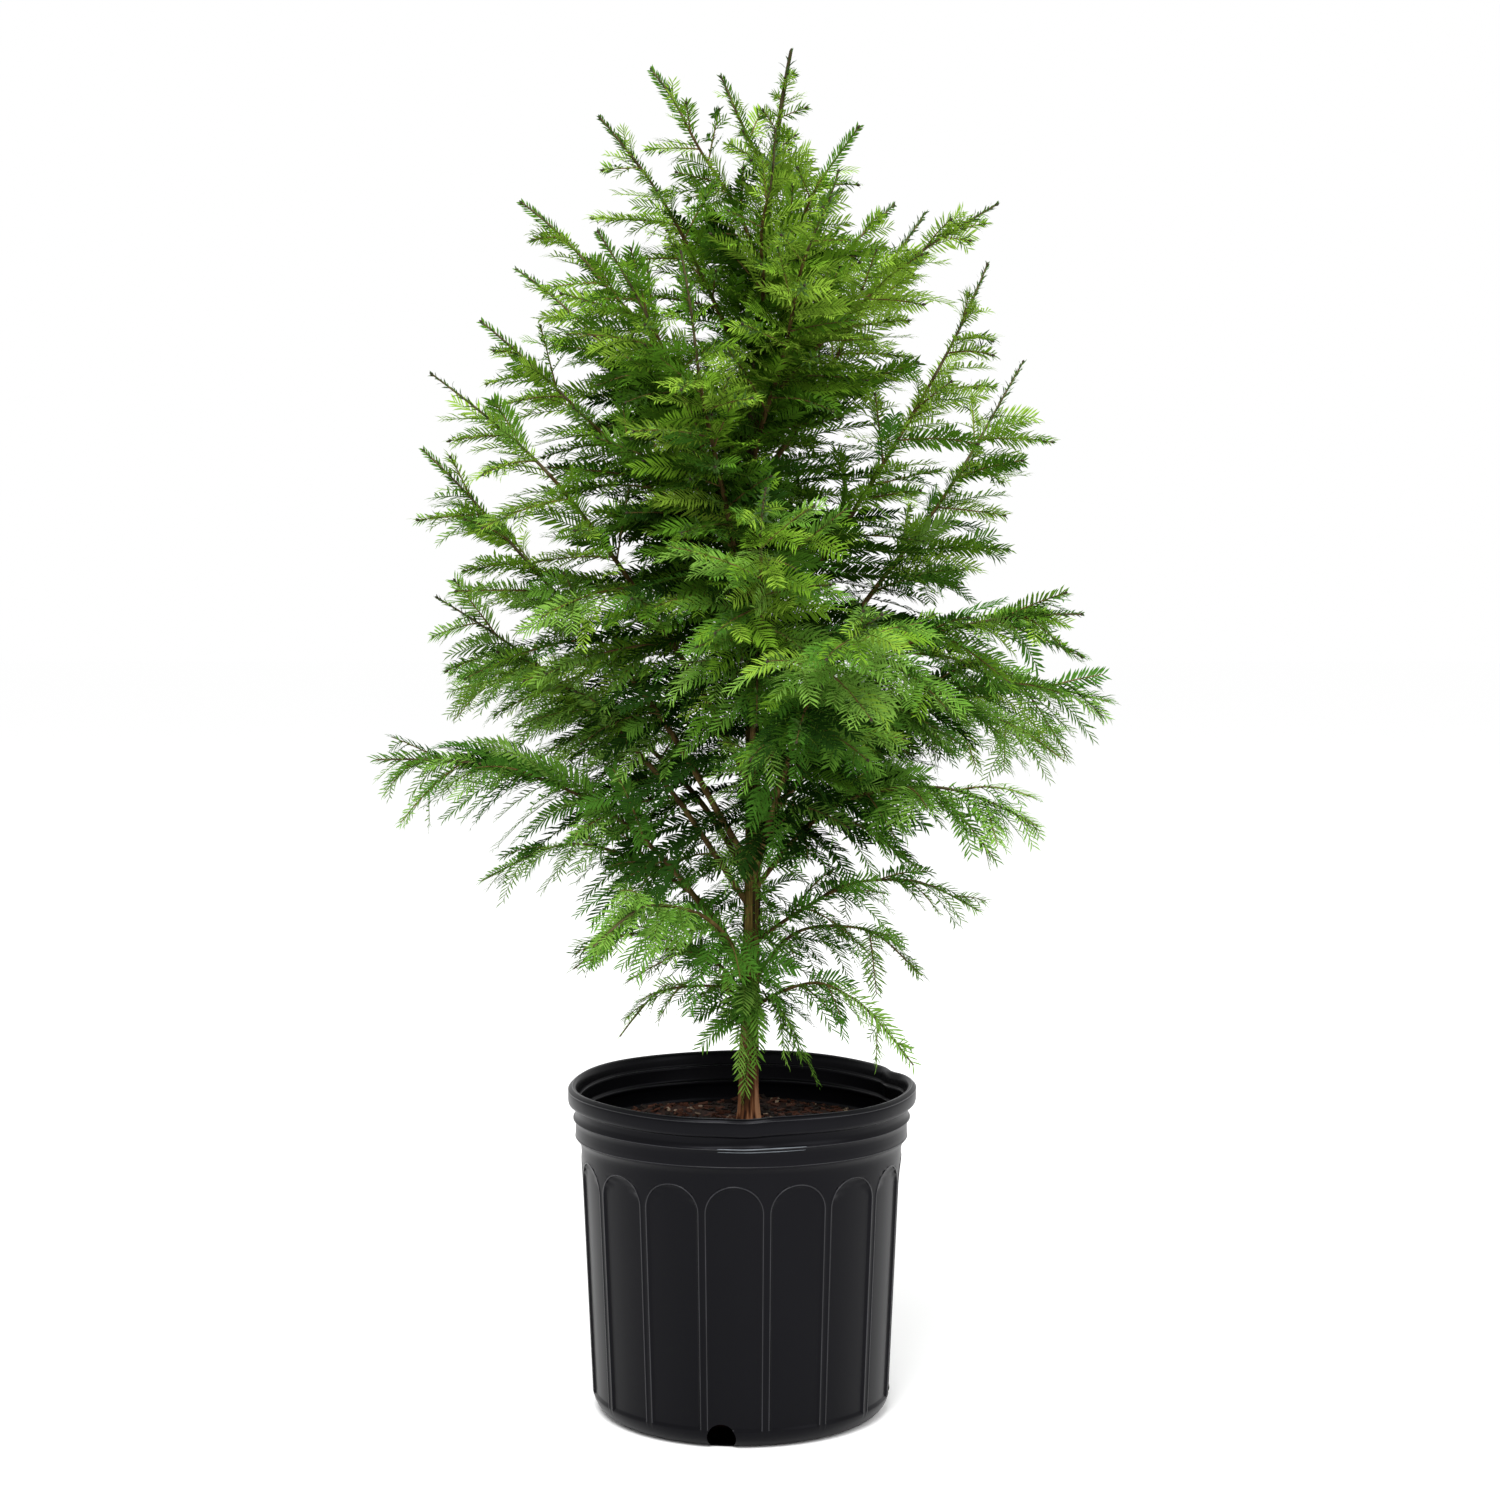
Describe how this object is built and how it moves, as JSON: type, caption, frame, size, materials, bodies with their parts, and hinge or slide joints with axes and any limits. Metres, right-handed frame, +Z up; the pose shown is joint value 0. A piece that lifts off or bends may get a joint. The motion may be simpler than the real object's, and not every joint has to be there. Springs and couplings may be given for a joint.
{
  "type": "potted bald cypress",
  "caption": "Young bald cypress tree in a round black nursery pot: straight tapering trunk, rising boughs and feathery sprays of soft green needles.",
  "frame": {"origin": "middle of the pot's flat underside, where the plant stands on the floor", "axes": "+Z up along the pot's axis, -Y towards the viewer in the picture, +X to the right there"},
  "size_m": [0.6014, 0.6078, 1.1469],
  "materials": {
    "pot": "satin black blown plastic",
    "soil": "moist bark potting mix with pale chips",
    "bark": "fibrous orange-brown bark",
    "needles": "soft flat needles in feathery sprays, yellow-green to deep green"
  },
  "bodies": {
    "root": {"pot": "pot", "soil": "soil", "trunk": "bark", "bough_left_4": "bark", "bough_left_6": "bark", "bough_left_7": "bark", "bough_left_8": "bark", "bough_left_9": "bark", "bough_left_10": "bark", "bough_right_4": "bark", "bough_right_6": "bark", "bough_right_7": "bark", "bough_right_8": "bark", "bough_right_9": "bark", "bough_right_10": "bark", "bough_back_2": "bark", "bough_front_3": "bark", "bough_back_3": "bark", "foliage_left_1": "needles", "foliage_left_2": "needles", "foliage_left_3": "needles", "foliage_left_4": "needles", "foliage_left_5": "needles", "foliage_left_6": "needles", "foliage_left_7": "needles", "foliage_left_8": "needles", "foliage_left_9": "needles", "foliage_left_10": "needles", "foliage_left_11": "needles", "foliage_left_12": "needles", "foliage_left_13": "needles", "foliage_top_left": "needles", "foliage_right_1": "needles", "foliage_right_2": "needles", "foliage_right_3": "needles", "foliage_right_4": "needles", "foliage_right_5": "needles", "foliage_right_6": "needles", "foliage_right_7": "needles", "foliage_right_8": "needles", "foliage_right_9": "needles", "foliage_right_10": "needles", "foliage_right_11": "needles", "foliage_right_12": "needles", "foliage_right_13": "needles", "foliage_front_1": "needles", "foliage_front_2": "needles", "foliage_front_3": "needles", "foliage_front_4": "needles", "foliage_front_5": "needles", "foliage_front_6": "needles", "foliage_front_7": "needles", "foliage_back_1": "needles", "foliage_back_2": "needles", "foliage_back_3": "needles", "foliage_back_4": "needles", "foliage_back_5": "needles", "foliage_back_6": "needles", "foliage_back_7": "needles", "foliage_leader": "needles"}
  },
  "joints": []
}
